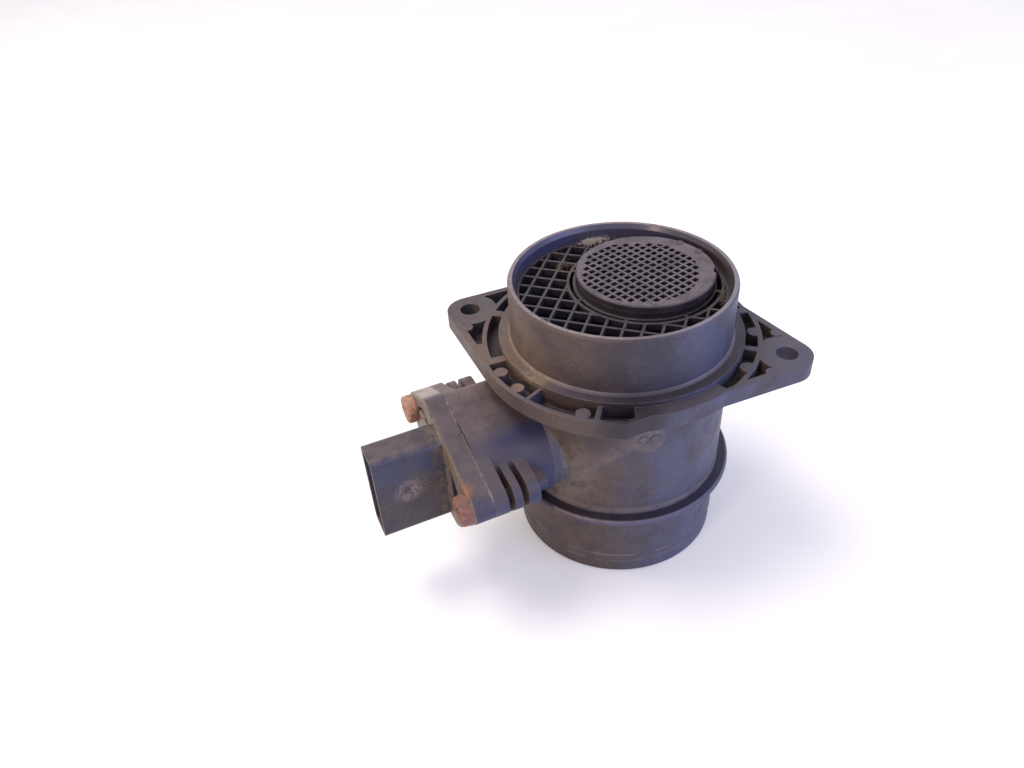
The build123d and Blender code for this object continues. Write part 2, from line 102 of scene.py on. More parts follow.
# %% [markdown]
# ## Colours and nodes
# Colours are written as on a paint card, in sRGB hex, and one function turns them to the linear
# values that the shader needs.  One more function adds a node, sets it and links it.  A socket that
# has a name of its own is given by name, and the others by number: 0 and 1 for the two values of a
# sum or product, and 0, 6 and 7 for the mask and the two colours of a mix.

# %% Colours and nodes


def linear(hex_code):
    """sRGB hex to linear RGBA."""
    channels = [int(hex_code[i:i + 2], 16) / 255 for i in (1, 3, 5)]
    straight = [c / 12.92 if c <= 0.04045 else ((c + 0.055) / 1.055) ** 2.4 for c in channels]
    return (*straight, 1.0)


def add(tree, kind, links=None, **settings):
    """Adds a node with its settings.  Each link is a socket or a plain value.  Returns the outputs."""
    node = tree.nodes.new(kind)
    for name, value in settings.items():
        setattr(node, name, value)
    for socket, value in (links or {}).items():
        if isinstance(value, bpy.types.NodeSocket):
            tree.links.new(value, node.inputs[socket])
        else:
            node.inputs[socket].default_value = value
    return node.outputs


def new_material(name):
    """An empty material, its node tree and its shader, already linked to the output."""
    material = bpy.data.materials.new(name)
    material.use_nodes = True
    tree = material.node_tree
    return material, tree, tree.nodes["Principled BSDF"]


def dress(node_name, material):
    """Gives a CAD node one material."""
    slots = nodes[node_name].data.materials
    slots.clear()
    slots.append(material)


print("mid grey is", [round(value, 3) for value in linear("#808080")])

# %% [markdown]
# ## Where a coat lies
# A dirty surface is built in layers: a base colour, and over it coats of film, dust, dirt and painted light.
# Each coat has masks that say where it lies: which way a face looks, how high or how far out it is,
# how near it is to one point, and a cloudy pattern that breaks up its edge.  The masks of a coat are
# multiplied, and a plain number among them is the share of the coat at its thickest.

# %% Places in a material


def millimetres(tree):
    """The place on the object in millimetres, the same for every piece."""
    place = add(tree, "ShaderNodeTexCoord")["Object"]
    return add(tree, "ShaderNodeVectorMath", {0: place, "Scale": 1 / MM}, operation="SCALE")[0]


def element_place(tree, place):
    """How far outward, how far across and how high a place lies on the element, in millimetres."""
    return [add(tree, "ShaderNodeVectorMath", {0: place, 1: direction}, operation="DOT_PRODUCT")["Value"]
            for direction in (outward, across, up)]


def coats(tree, colour, *layers):
    """Lays coats over a colour.  A coat is a hex colour and its masks, which are multiplied."""
    for hex_code, mask, *more in layers:
        for factor in more:
            mask = add(tree, "ShaderNodeMath", {0: mask, 1: factor}, operation="MULTIPLY")[0]
        colour = add(tree, "ShaderNodeMix", {0: mask, 6: colour, 7: linear(hex_code)},
                     data_type="RGBA")[2]
    return colour


print("a coat: hex colour, masks, share")

# %% Masks


def patchy(tree, place, size_mm, bare=0.4, covered=0.6, detail=4.0):
    """A cloudy mask with lumps about this many millimetres across, 0 where bare and 1 where covered."""
    cloud = add(tree, "ShaderNodeTexNoise", {"Vector": place, "Scale": 1 / size_mm, "Detail": detail,
                                             "Roughness": 0.6})[0]
    return add(tree, "ShaderNodeMapRange", {"Value": cloud, "From Min": bare, "From Max": covered})[0]


def facing(tree, direction, none=0.0, full=0.8):
    """How far a face looks in a direction, from 0 to 1."""
    normal = add(tree, "ShaderNodeNewGeometry")["Normal"]
    cosine = add(tree, "ShaderNodeVectorMath", {0: normal, 1: Vector(direction).normalized()},
                 operation="DOT_PRODUCT")["Value"]
    return add(tree, "ShaderNodeMapRange", {"Value": cosine, "From Min": none, "From Max": full},
               interpolation_type="SMOOTHSTEP")[0]


def band(tree, value, low, high, soft):
    """1 where a value lies from low to high, fading to 0 over soft."""
    half = (high - low) / 2
    away = add(tree, "ShaderNodeMath", {0: value, 1: (low + high) / 2}, operation="SUBTRACT")[0]
    away = add(tree, "ShaderNodeMath", {0: away}, operation="ABSOLUTE")[0]
    return add(tree, "ShaderNodeMapRange", {"Value": away, "From Min": half, "From Max": half + soft,
                                            "To Min": 1.0, "To Max": 0.0},
               interpolation_type="SMOOTHSTEP")[0]


def spot(tree, place, centre, radius_mm, soft_mm):
    """1 within a ball round a point given in metres, fading to 0 over soft."""
    distance = add(tree, "ShaderNodeVectorMath", {0: place, 1: Vector(centre) / MM},
                   operation="DISTANCE")["Value"]
    return add(tree, "ShaderNodeMapRange", {"Value": distance, "From Min": radius_mm,
                                            "From Max": radius_mm + soft_mm,
                                            "To Min": 1.0, "To Max": 0.0},
               interpolation_type="SMOOTHSTEP")[0]


print("masks: patchy, facing, band, spot")

# %% [markdown]
# ## The skin of a moulding
# The duct is injection moulded from black nylon with short glass fibres.  The steel mould leaves a
# fine grain, and heat makes the surface cloudy.  Every edge, convex or concave, is made paler: partly
# wear from handling, partly a painted highlight where an edge catches light.  The edges could be
# painted by hand; here a Bevel node finds them: where its rounded normal leaves the true one, there
# is an edge.  The real grain is finer than a pixel, so it is drawn at half a millimetre.

# %% Skin of a moulding
grain_mm = 0.5
grain_depth_mm = 0.05
wave_mm = 9.0
wave_depth_mm = 0.3
edge_mm = 0.35


def moulded_skin(tree, shader, place, colour, edge_wear_and_highlight="#8a8085", edge_wear_and_highlight_share=0.55, gloss=0.5):
    """Paler edges (wear and painted highlight), mould grain and a cloudy gloss over any colour.  Gloss may
    be a mask.
    """
    round_normal = add(tree, "ShaderNodeBevel", {"Radius": edge_mm * MM}, samples=6)[0]
    true_normal = add(tree, "ShaderNodeNewGeometry")["Normal"]
    likeness = add(tree, "ShaderNodeVectorMath", {0: round_normal, 1: true_normal},
                   operation="DOT_PRODUCT")["Value"]
    # paler edges: partly wear, partly painted highlight
    edge = add(tree, "ShaderNodeMapRange", {"Value": likeness, "From Min": 0.99, "From Max": 0.75,
                                            "To Max": edge_wear_and_highlight_share})[0]
    colour = coats(tree, colour, (edge_wear_and_highlight, edge, patchy(tree, place, 2.5, 0.35, 0.6)))
    grain = add(tree, "ShaderNodeTexNoise", {"Vector": place, "Scale": 1 / grain_mm, "Detail": 3.0})[0]
    wave = add(tree, "ShaderNodeTexNoise", {"Vector": place, "Scale": 1 / wave_mm})[0]
    bump = add(tree, "ShaderNodeBump", {"Strength": 0.35, "Distance": grain_depth_mm * MM,
                                        "Height": grain, "Normal": round_normal})[0]
    bump = add(tree, "ShaderNodeBump", {"Strength": 0.3, "Distance": wave_depth_mm * MM,
                                        "Height": wave, "Normal": bump})[0]
    cloud = patchy(tree, place, 7.0, 0.3, 0.7)
    dull = add(tree, "ShaderNodeMapRange", {"Value": cloud, "To Min": -0.08, "To Max": 0.12})[0]
    roughness = add(tree, "ShaderNodeMath", {0: dull, 1: gloss}, operation="ADD")[0]
    tree.links.new(colour, shader.inputs["Base Color"])
    tree.links.new(roughness, shader.inputs["Roughness"])
    tree.links.new(bump, shader.inputs["Normal"])
    shader.inputs["IOR"].default_value = 1.5
    shader.inputs["Specular IOR Level"].default_value = 0.4


print("skin: grain", grain_mm, "mm, edges", edge_mm, "mm")

# %% [markdown]
# ## Glass-filled nylon of the duct
# Under a bonnet the side that looks to the engine bakes brown with dust, and on the faces that look
# left this brown is also painted warm light.  The faces that look right are painted a cold blue: a
# painted reflection of a cool window, not a film of dirt.  The base is a warm black that is cloudy over
# about a centimetre, and the two coats lie on it in patches.

# %% Base, brown dust with painted warm light, and painted blue reflection of the duct
# directions of the painted warm light and of the painted blue reflection
warm_light_and_dust_side = (-0.9, -0.35, 0.1)
blue_light_side = (0.88, -0.45, -0.1)
nylon, tree, shader = new_material("glass_filled_nylon_moulded")
place = millimetres(tree)
axes = add(tree, "ShaderNodeSeparateXYZ", {0: place})
height = axes["Z"]
flat_place = add(tree, "ShaderNodeVectorMath", {0: place, 1: (1, 1, 0)}, operation="MULTIPLY")[0]
radius = add(tree, "ShaderNodeVectorMath", {0: flat_place}, operation="LENGTH")["Value"]
dirt_and_painted_light = coats(tree, linear("#352e36"),
             ("#443b3f", patchy(tree, place, 13.0)),
             # brown dust on faces that look left, partly painted warm light
             ("#57483f", facing(tree, warm_light_and_dust_side, -0.6, 0.6), patchy(tree, place, 8.0, 0.3, 0.62), 0.8),
             # painted blue reflection on faces that look right
             ("#4a4f68", facing(tree, blue_light_side, 0.5, 1.0), patchy(tree, place, 11.0, 0.25, 0.55), 0.9))
print("duct: films, nodes", len(tree.nodes))

# %% [markdown]
# ### Dust
# Dust settles on what faces up.  On the right its top faces are painted a cooler grey-blue, as lit by
# the cool window.  A second coat puts fine grains of it everywhere, because even a wall that faces down
# holds some.

# %% Dust on the duct, with painted cool light on the right
top = facing(tree, up, 0.35, 0.95)
right_half = add(tree, "ShaderNodeMapRange", {"Value": axes["X"], "From Max": 42.0})[0]
dirt_and_painted_light = coats(tree, dirt_and_painted_light,
             ("#8c8084", top, patchy(tree, place, 3.0, 0.1, 0.55), 0.9),
             # painted cool light: the dust on the right is tinted grey-blue
             ("#737381", top, right_half, 0.85),
             ("#8b8480", patchy(tree, place, 0.6, 0.5, 0.75, 2.0), 0.2))
print("duct: dust, nodes", len(tree.nodes))

# %% [markdown]
# ### Dirt, painted shade and painted highlights
# Road dirt stays where a hose or a wall holds it.  It is tan on the left of the shoulder and palest
# in the corner at the foot of the collar; it is grey at the foot of the body and brown beside the
# boss.  A dark patch on the front of the flange is painted shade in its concave corner, and a dark
# patch on the front of the collar is painted shade between its warm-lit and blue-lit sides; two pale
# lines at the spigot's bead are painted highlights.

# %% Dirt and painted shade on the shoulder and the collar
shoulder = band(tree, height, shoulder_top - 1.4, shoulder_top + 0.3, 0.4)
corner_height = band(tree, height, shoulder_top - 0.1, shoulder_top + 0.5, 0.4)
corner_radius = band(tree, radius, duct_radius - 0.3, duct_radius + 0.1, 0.5)
left_front = spot(tree, place, polar_point(214, 36.5, 79.5), 16, 14)
dirt_and_painted_light = coats(tree, dirt_and_painted_light,
             ("#352f38", shoulder, top, 0.85),
             ("#715d50", shoulder, left_front, patchy(tree, place, 1.3, 0.25, 0.65), 0.85),
             ("#a38d72", shoulder, spot(tree, place, polar_point(240, shoulder_radius, 78), 2, 5),
              patchy(tree, place, 1.6, 0.3, 0.6), 0.6),
             ("#a3937f", corner_height, corner_radius, left_front,
              patchy(tree, place, 2.6, 0.38, 0.6), 0.7),
             ("#755f4f", spot(tree, place, polar_point(218, duct_radius, 82), 8, 16),
              patchy(tree, place, 5.0, 0.3, 0.6), 0.5),
             # painted shade on the front of the collar, between its warm-lit and blue-lit sides
             ("#2d2934", spot(tree, place, polar_point(294, duct_radius, 86), 6, 15),
              patchy(tree, place, 6.0, 0.2, 0.5), 0.65))
print("duct: dirt above, nodes", len(tree.nodes))

# %% Dirt, painted shade and painted highlights on the body, the flange and the spigot
duct_wall = band(tree, radius, 34.0, 36.5, 0.6)
foot = band(tree, height, stop_ring_top, stop_ring_top + 1.8, 1.6)
dirt_and_painted_light = coats(tree, dirt_and_painted_light,
             ("#85776a", spot(tree, place, polar_point(298, duct_radius, 61.2), 4, 2),
              patchy(tree, place, 0.9, 0.35, 0.55), 0.3),
             ("#776a5f", spot(tree, place, polar_point(243, duct_radius, 44), 9, 14), duct_wall,
              patchy(tree, place, 3.0, 0.35, 0.55), 0.75),
             ("#82787a", foot, duct_wall, patchy(tree, place, 5.0, 0.3, 0.5), 0.6),
             # painted shade in the concave corner on the front of the flange
             ("#262129", spot(tree, place, polar_point(287, 44.5, 75), 5, 8), 0.9),
             ("#4c4a5e", spot(tree, place, (0.062, -0.004, 0.074), 8, 10), 0.7),
             # painted highlights: two pale lines above and below the spigot's bead
             ("#7d7375", band(tree, height, 8.2, 8.6, 0.5), duct_wall,
              patchy(tree, place, 9.0, 0.42, 0.55), 0.5),
             ("#7d7375", band(tree, height, 5.2, 5.5, 0.4), duct_wall,
              patchy(tree, place, 8.0, 0.4, 0.55), 0.35))
print("duct: dirt below, nodes", len(tree.nodes))

# %% [markdown]
# ### The streak
# A pale streak lies on the front, from the boss up to the flange.  It rises with X, so its
# mask is a band of z minus 0.8 times x.  The lower edge of the streak is crisp and the upper one is
# soft, so each edge has its own ramp.

# %% Streak on the body
streak_height = add(tree, "ShaderNodeVectorMath", {0: place, 1: (-0.8, 0.0, 1.0)},
                    operation="DOT_PRODUCT")["Value"]
streak_rise = add(tree, "ShaderNodeMapRange", {"Value": streak_height, "From Min": 47.2,
                                               "From Max": 49.0})[0]
streak_fall = add(tree, "ShaderNodeMapRange", {"Value": streak_height, "From Min": 49.0,
                                               "From Max": 56.0, "To Min": 1.0, "To Max": 0.0})[0]
dirt_and_painted_light = coats(tree, dirt_and_painted_light,
             ("#776c69", streak_rise, streak_fall, facing(tree, (0.05, -1.0, 0.0), 0.75, 0.95),
              duct_wall, patchy(tree, place, 2.5, 0.2, 0.65), 0.55))
print("duct: streak, nodes", len(tree.nodes))

# %% [markdown]
# ### The boss
# The boss that holds the element is dusty brown on top.  Towards the far ear its top is paler: dust,
# and painted light.  Towards the near ear its top is painted darker as shade, and its side is painted
# blue, a painted reflection of the cool window, most of all close to the duct.

# %% Coats of the boss
out, side, _ = element_place(tree, place)
boss_length = band(tree, out, 34.5, 58.6, 0.5)
boss_height = band(tree, height, 25.0, 71.5, 0.5)
out_of_wall = add(tree, "ShaderNodeMapRange", {"Value": radius, "From Min": 35.45, "From Max": 36.2})[0]
near_duct = add(tree, "ShaderNodeMapRange", {"Value": out, "From Min": 57.0, "From Max": 47.0,
                                             "To Min": 0.45, "To Max": 1.0})[0]
boss_top = facing(tree, (0.1, 0.0, 1.0), 0.2, 0.6)
dirt_and_painted_light = coats(tree, dirt_and_painted_light,
             ("#5e5253", boss_length, boss_height, boss_top, out_of_wall, 0.95),
             ("#463b3e", boss_length, boss_height, boss_top, patchy(tree, place, 5.0, 0.4, 0.65), 0.7),
             # painted blue reflection on the near side of the boss
             ("#2a3152", boss_length, boss_height, facing(tree, across, 0.1, 0.6), out_of_wall,
              near_duct, 0.85),
             # painted shade on the tops towards the near ear
             ("#4a434b", boss_length, boss_height, boss_top, band(tree, side, 16.0, 40.0, 4.0), 0.8),
             # dust and painted light on the top towards the far ear
             ("#7b6a69", boss_length, boss_height, boss_top, band(tree, side, -40.0, -10.0, 6.0),
              patchy(tree, place, 3.0, 0.25, 0.6), 0.7))
print("duct: boss, nodes", len(tree.nodes))

# %% [markdown]
# ### Dark places, painted light and the cup
# The floors of the flange's pockets are painted dark as shade in the recesses, and the top of the stop
# ring is dark; its right half and the right of the ring's outer face are painted blue as cool light.
# Air keeps the wall of the cup clean and smooth: it has half the roughness of the rest, so it shows a
# soft highlight.  On the wall of the cup a blue patch on the left is a painted reflection, and the
# part of the wall that looks left is painted warm, as lit by a warm lamp.

# %% Painted shade, painted light and the cup of the duct, and its skin
ring_top = band(tree, height, stop_ring_top - 0.4, stop_ring_top + 0.2, 0.1)
ring_edge = add(tree, "ShaderNodeMapRange", {"Value": radius, "From Min": 38.2, "From Max": 38.6,
                                             "To Min": 1.0, "To Max": 0.0})[0]
cup_height = band(tree, height, 91.0, duct_top, 0.3)
cup_wall = add(tree, "ShaderNodeMapRange", {"Value": radius, "From Min": cup_radius + 0.6,
                                            "From Max": cup_radius + 0.9,
                                            "To Min": 1.0, "To Max": 0.0})[0]
cup = add(tree, "ShaderNodeMath", {0: cup_height, 1: cup_wall}, operation="MULTIPLY")[0]
dirt_and_painted_light = coats(tree, dirt_and_painted_light,
             # painted shade: the floors of the flange's pockets
             ("#2b242a", band(tree, height, 72.6, flange_top - 0.3, 0.2), top, 0.95),
             ("#1f1a21", ring_top, ring_edge, 0.9),
             # painted cool light on the right half of the stop ring's top
             ("#363852", ring_top, ring_edge, right_half, 0.9),
             # painted cool light on the right of the stop ring's outer face
             ("#4a4c6c", band(tree, height, 26.9, 29.0, 0.2), band(tree, radius, 38.6, 39.4, 0.3),
              facing(tree, blue_light_side, 0.1, 0.8), 0.8),
             ("#4c4a5e", cup, 0.9),
             # painted blue reflection on the left of the cup's wall
             ("#484a6c", cup, spot(tree, place, polar_point(160, cup_radius, 94), 6, 16), 0.8),
             # painted warm light on the part of the cup's wall that looks left
             ("#433a3c", cup, facing(tree, (-1.0, 0.1, 0.0), -0.1, 0.7), 0.9))
gloss = add(tree, "ShaderNodeMapRange", {"Value": cup, "To Min": 0.5, "To Max": 0.22})[0]
moulded_skin(tree, shader, place, dirt_and_painted_light, gloss=gloss)
dress("housing", nylon)
print("duct: dressed, nodes", len(tree.nodes))

# %% [markdown]
# ## Grille, tube and screen
# These three are unfilled nylon, so they are smoother and evenly coloured.  The grille and the
# tube stay dark, because air blows them clean.  The screen stands highest and takes the most dust,
# which lies on its face and leaves its rim dark.

# %% Finish of the inlet pieces


def unfilled_nylon(name, dark, pale, dust, dust_share, debris_share=0.0):
    """Unfilled nylon, moulded: a dark body with settled dust on top."""
    material, tree, shader = new_material(name)
    place = millimetres(tree)
    top = facing(tree, up, 0.5, 0.98)
    debris = spot(tree, place, (-0.0213, 0.009, 0.0938), 3.0, 5.0)
    colour = coats(tree, linear(dark),
                   (pale, patchy(tree, place, 6.0)),
                   (dust, top, patchy(tree, place, 5.0, 0.2, 0.6), dust_share),
                   ("#a09690", top, patchy(tree, place, 0.8, 0.6, 0.72, 2.0), 0.4 * dust_share),
                   ("#4f4540", debris, top, patchy(tree, place, 1.6, 0.35, 0.5), debris_share))
    moulded_skin(tree, shader, place, colour, edge_wear_and_highlight_share=0.45, gloss=0.46)
    return material


screen_nylon = unfilled_nylon("nylon_screen_moulded", "#2b262c", "#3a343b", "#625860", 0.95)
dress("inlet_grille", unfilled_nylon("nylon_grille_moulded", "#2c2930", "#363238", "#4a444b", 0.7, 0.8))
dress("inner_tube", unfilled_nylon("nylon_tube_moulded", "#1f1c22", "#2a262c", "#48434a", 0.5))
dress("dirt_screen", screen_nylon)
print("inlet: dressed")

# %% [markdown]
# ## The plug-in element
# Its body is PBT polyester, a little bluer and smoother than the duct.  The plug that sat on it
# kept the connector clean, so dirt begins where the plug ended: at the root of the shell and on the
# edge of the plate.  The near ear of the plate and the upper near side of the shell are painted blue,
# a painted reflection of the cool window.  The top of the far ear is painted pale as a highlight, and
# the top of the shell near its root is painted darker as shade.

# %% Films, dust and painted light and shade of the element
pbt, tree, shader = new_material("pbt_polyester_moulded")
place = millimetres(tree)
out, side, high = element_place(tree, place)
top = facing(tree, up, 0.3, 0.9)
shell = band(tree, out, 65.6, 90.0, 0.6)
plate = band(tree, out, 58.0, 65.3, 0.3)
near_face = facing(tree, across - 0.2 * up, -0.1, 0.5)
dirt_and_painted_light = coats(tree, linear("#342f3a"),
             ("#443c42", patchy(tree, place, 8.0, 0.35, 0.6)),
             # painted blue reflection on the upper near side of the shell
             ("#323a58", shell, facing(tree, across, 0.3, 0.9), band(tree, high, 53.0, 60.0, 9.0),
              patchy(tree, place, 5.0, 0.3, 0.55), 0.75),
             ("#5a5053", shell, top, patchy(tree, place, 4.0, 0.3, 0.6), 0.8),
             ("#5c5155", plate, patchy(tree, place, 6.0, 0.25, 0.6), 0.7),
             # painted blue reflection on the near ear of the plate
             ("#282e52", plate, near_face, band(tree, high, 30.0, 48.0, 8.0), 0.85),
             # painted highlight on the top of the far ear
             ("#b3a49d", plate, top, band(tree, side, -40.0, -16.0, 4.0),
              patchy(tree, place, 3.0, 0.2, 0.5), 0.85),
             # painted shade on the top of the shell near its root
             ("#332c33", band(tree, out, 65.6, 70.0, 5.0), shell, top, 0.7))
print("element: films, nodes", len(tree.nodes))

# %% [markdown]
# ### Dirt, a stain and a scuff
# Dirt has crept along the edge of the plate and into the seam behind it.  Above the near screw the
# plate has a rust stain.  One blow has left a scuff on the shell: pale scratches round a dark core,
# with a dull trail towards the plate.

# %% Dirt and damage of the element
stain = spot(tree, place, element_point(65.4, 22.0, 53.4), 0.5, 4.0)
scuff = spot(tree, place, element_point(78.4, 5.7, 46.2), 2.2, 3.4)
scuff_core = spot(tree, place, element_point(79.2, 5.7, 46.8), 0.8, 1.4)
scuff_trail = spot(tree, place, element_point(73.5, 5.7, 47.5), 2.5, 4.0)
dirt_and_painted_light = coats(tree, dirt_and_painted_light,
             ("#665748", band(tree, out, 64.0, 67.0, 4.0), shell,
              patchy(tree, place, 2.2, 0.42, 0.56), 0.75),
             ("#85796a", band(tree, out, 65.0, 65.6, 0.3), patchy(tree, place, 2.0, 0.36, 0.52), 0.7),
             ("#9c8f82", band(tree, out, 58.3, 58.8, 0.3), top,
              patchy(tree, place, 2.4, 0.42, 0.6), 0.6),
             ("#6a5a48", plate, facing(tree, outward, 0.3, 0.8), patchy(tree, place, 2.4, 0.3, 0.6), 0.7),
             ("#a5673d", stain, patchy(tree, place, 1.6, 0.35, 0.55), 0.85),
             ("#5c4f4c", scuff_trail, shell, patchy(tree, place, 1.4, 0.35, 0.6), 0.8),
             ("#7d7072", scuff, patchy(tree, place, 0.9, 0.36, 0.54), 0.9),
             ("#2a2327", scuff_core, patchy(tree, place, 0.7, 0.4, 0.5), 0.9),
             ("#8b8480", patchy(tree, place, 0.6, 0.5, 0.75, 2.0), 0.16))
moulded_skin(tree, shader, place, dirt_and_painted_light, edge_wear_and_highlight="#7f7980", gloss=0.46)
for name in ("sensor_body", "circuit_cover", "channel_cover"):
    dress(name, pbt)
print("element: dressed, nodes", len(tree.nodes))

# %% [markdown]
# ## Rusty steel
# The screws were zinc plated.  Salt has taken the plating, and what is left is scale: brown where
# it is old, orange where it is fresh, and dark where a flake came off.  The far head is painted
# paler, as lit, and the near head darker, as shaded.  Rust is not a metal to the eye, so it is fully
# rough and has no metallic value.

# %% Rust
scale_mm = 1.6
flake_mm = 0.25
rust, tree, shader = new_material("steel_rusted")
place = millimetres(tree)
out, _, _ = element_place(tree, place)
far_head_painted_light, near_head_painted_shade = (spot(tree, place, element_point(67, *screw_seats[head]), 6, 3)
                       for head in ("far", "near"))
scale = coats(tree, linear("#80594f"),
              ("#986552", patchy(tree, place, 2.6, 0.4, 0.6)),
              ("#b58671", patchy(tree, place, 0.9, 0.48, 0.64), 0.7),
              ("#4a2c2a", patchy(tree, place, 1.3, 0.56, 0.66), 0.75),
              # painted light on the far head, painted shade on the near head
              ("#c9a08f", far_head_painted_light, patchy(tree, place, 1.6, 0.3, 0.5), 0.6),
              ("#62504f", near_head_painted_shade, patchy(tree, place, 1.8, 0.38, 0.56), 0.7),
              ("#302a2d", band(tree, out, 40.0, 64.9, 0.4)))
flakes = add(tree, "ShaderNodeTexNoise", {"Vector": place, "Scale": 1 / scale_mm, "Detail": 6.0})[0]
bump = add(tree, "ShaderNodeBump", {"Strength": 0.5, "Distance": flake_mm * MM, "Height": flakes})[0]
tree.links.new(scale, shader.inputs["Base Color"])
tree.links.new(bump, shader.inputs["Normal"])
shader.inputs["Roughness"].default_value = 0.9
dress("sensor_screws", rust)
print("screws: dressed, nodes", len(tree.nodes))

# %% [markdown]
# ## What the element holds
# None of this shows until the covers are off, but each piece gets the finish that it has in such a
# sensor: a rubber seal, an aluminium carrier, a white alumina board, black epoxy chips, brown
# ceramic capacitors, a silicon chip with a film of glass, and tinned blades.

# %% Finishes inside the element


def plain_finish(name, dark, pale, size_mm, roughness, metallic=0.0, bump_mm=0.01):
    """A clean manufactured surface: two near tones, a fine unevenness, one gloss."""
    material, tree, shader = new_material(name)
    place = millimetres(tree)
    colour = coats(tree, linear(dark), (pale, patchy(tree, place, size_mm, 0.35, 0.65)))
    uneven = add(tree, "ShaderNodeTexNoise", {"Vector": place, "Scale": 2 / size_mm, "Detail": 3.0})[0]
    bump = add(tree, "ShaderNodeBump", {"Strength": 0.4, "Distance": bump_mm * MM, "Height": uneven})[0]
    tree.links.new(colour, shader.inputs["Base Color"])
    tree.links.new(bump, shader.inputs["Normal"])
    shader.inputs["Roughness"].default_value = roughness
    shader.inputs["Metallic"].default_value = metallic
    return material


dress("sensor_seal", plain_finish("nitrile_rubber_moulded", "#1a1a1c", "#252427", 1.5, 0.6, bump_mm=0.03))
dress("carrier_plate", plain_finish("aluminium_stamped", "#b4b5b7", "#c9cacb", 2.0, 0.38, 1.0))
dress("circuit_board", plain_finish("alumina_fired", "#d9d6cc", "#e6e4dc", 1.2, 0.65, bump_mm=0.02))
dress("evaluation_chip", plain_finish("epoxy_moulded", "#1b1b1e", "#26262a", 0.6, 0.5, bump_mm=0.02))
dress("sensor_chip", plain_finish("silicon_polished", "#3c4152", "#4b5268", 1.0, 0.12))
dress("air_temperature_sensor", plain_finish("bead_epoxy_coated", "#2a2222", "#3a2f2c", 0.8, 0.35))
capacitor_finish = plain_finish("ceramic_fired", "#8a6a48", "#9c7b57", 0.8, 0.5)
for number in (1, 2, 3):
    dress(f"capacitor_{number}", capacitor_finish)
blade_finish = plain_finish("brass_tinned", "#b9b8b2", "#cfcec8", 1.4, 0.32, 1.0)
for number in range(1, 6):
    dress(f"terminal_{number}", blade_finish)
print("inside: dressed")

# %% [markdown]
# ## Small pieces
# The next pieces are too fine for the CAD model.  Each is modelled at the origin, standing on its
# own base and pointing up, because that is where its sizes are easiest to give.  Then it is moved
# to its seat, and the move is applied, so that the finished object sits at the origin again.

# %% Helpers for pieces


def pick_top(piece, within=0.02 * MM):
    """Selects the faces at the top of a piece, in edit mode."""
    bpy.ops.object.mode_set(mode="EDIT")
    bpy.ops.mesh.select_all(action="DESELECT")
    bpy.ops.object.mode_set(mode="OBJECT")
    top = max(face.center.z for face in piece.data.polygons)
    for face in piece.data.polygons:
        face.select = face.normal.z > 0.9 and face.center.z > top - within
    bpy.ops.object.mode_set(mode="EDIT")


def settle(piece, seat, direction, name, material, twist=0.0):
    bpy.ops.object.select_all(action="DESELECT")
    turned = Vector(direction).to_track_quat("Z", "Y").to_matrix().to_4x4()
    piece.matrix_world = Matrix.Translation(seat) @ turned @ Matrix.Rotation(twist, 4, "Z")
    piece.select_set(True)
    bpy.context.view_layer.objects.active = piece
    bpy.ops.object.transform_apply(location=True, rotation=True, scale=True)
    piece.name = name
    piece.data.materials.clear()
    piece.data.materials.append(material)
    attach(piece, "root")
    print(name, "at", [round(value / MM, 1) for value in seat])


def twin(piece):
    """A copy of a piece with its own mesh."""
    copy = piece.copy()
    copy.data = piece.data.copy()
    bpy.context.collection.objects.link(copy)
    return copy


print("pieces so far:", len(nodes))

# %% [markdown]
# ## Mould marks
# The steel mould has round inserts and ejector pins, and each leaves a ring a few tenths of a
# millimetre high.  Two inserts show on the front of the duct and two pins on the face of the
# screen.  A ring is a disc whose top is inset twice, so that the strip between the two is a rim,
# and the middle is then pressed in.

# %% Mould marks
ring_sides = 32
rim_mm = 0.35
mark_height = 61.2
screen_face = 97.95


def mould_ring(radius_mm, height_mm):
    """A raised ring with a shallow floor, from a cylinder at the origin."""
    bpy.ops.object.select_all(action="DESELECT")
    bpy.ops.mesh.primitive_cylinder_add(vertices=ring_sides, radius=radius_mm * MM, depth=2 * height_mm * MM)
    ring = bpy.context.object
    pick_top(ring)
    bpy.ops.mesh.inset(thickness=0.3 * rim_mm * MM)
    bpy.ops.transform.translate(value=(0, 0, 0.3 * height_mm * MM))
    bpy.ops.mesh.inset(thickness=0.5 * rim_mm * MM)
    bpy.ops.mesh.inset(thickness=0.3 * rim_mm * MM)
    bpy.ops.transform.translate(value=(0, 0, -0.9 * height_mm * MM))
    bpy.ops.mesh.inset(thickness=0.45 * radius_mm * MM)
    bpy.ops.transform.translate(value=(0, 0, 0.4 * height_mm * MM))
    bpy.ops.object.mode_set(mode="OBJECT")
    bpy.ops.object.shade_smooth_by_angle(angle=math.radians(35))
    return ring


insert_ring = mould_ring(1.65, 0.34)
pin_ring = mould_ring(1.2, 0.28)
for number, azimuth in enumerate((295.0, 301.2), start=1):
    seat = polar_point(azimuth, duct_radius - 0.1, mark_height)
    settle(twin(insert_ring), seat, polar_point(azimuth, 1, 0), f"mould_mark_{number}", nylon)
for number, (x, y) in enumerate(((13.7, 24.7), (20.4, 20.4)), start=1):
    seat = Vector((x, y, screen_face)) * MM
    settle(twin(pin_ring), seat, up, f"pin_mark_{number}", screen_nylon)
for pattern in (insert_ring, pin_ring):
    bpy.data.objects.remove(pattern)

# %% [markdown]
# ## Rust on the screw heads
# Rust swells to several times the steel it came from, so the heads have lost their crisp edges and
# their drive is choked.  A crust with that shape is a disc with a beveled edge, divided finely and
# then pushed in and out by a cloud pattern.  It is modelled once, and the second one is turned so
# that the two don't look alike.

# %% Crust on the screw heads
crust_radius = 4.75
crust_height = 3.15
lump_mm = 1.5
swell_mm = 0.8


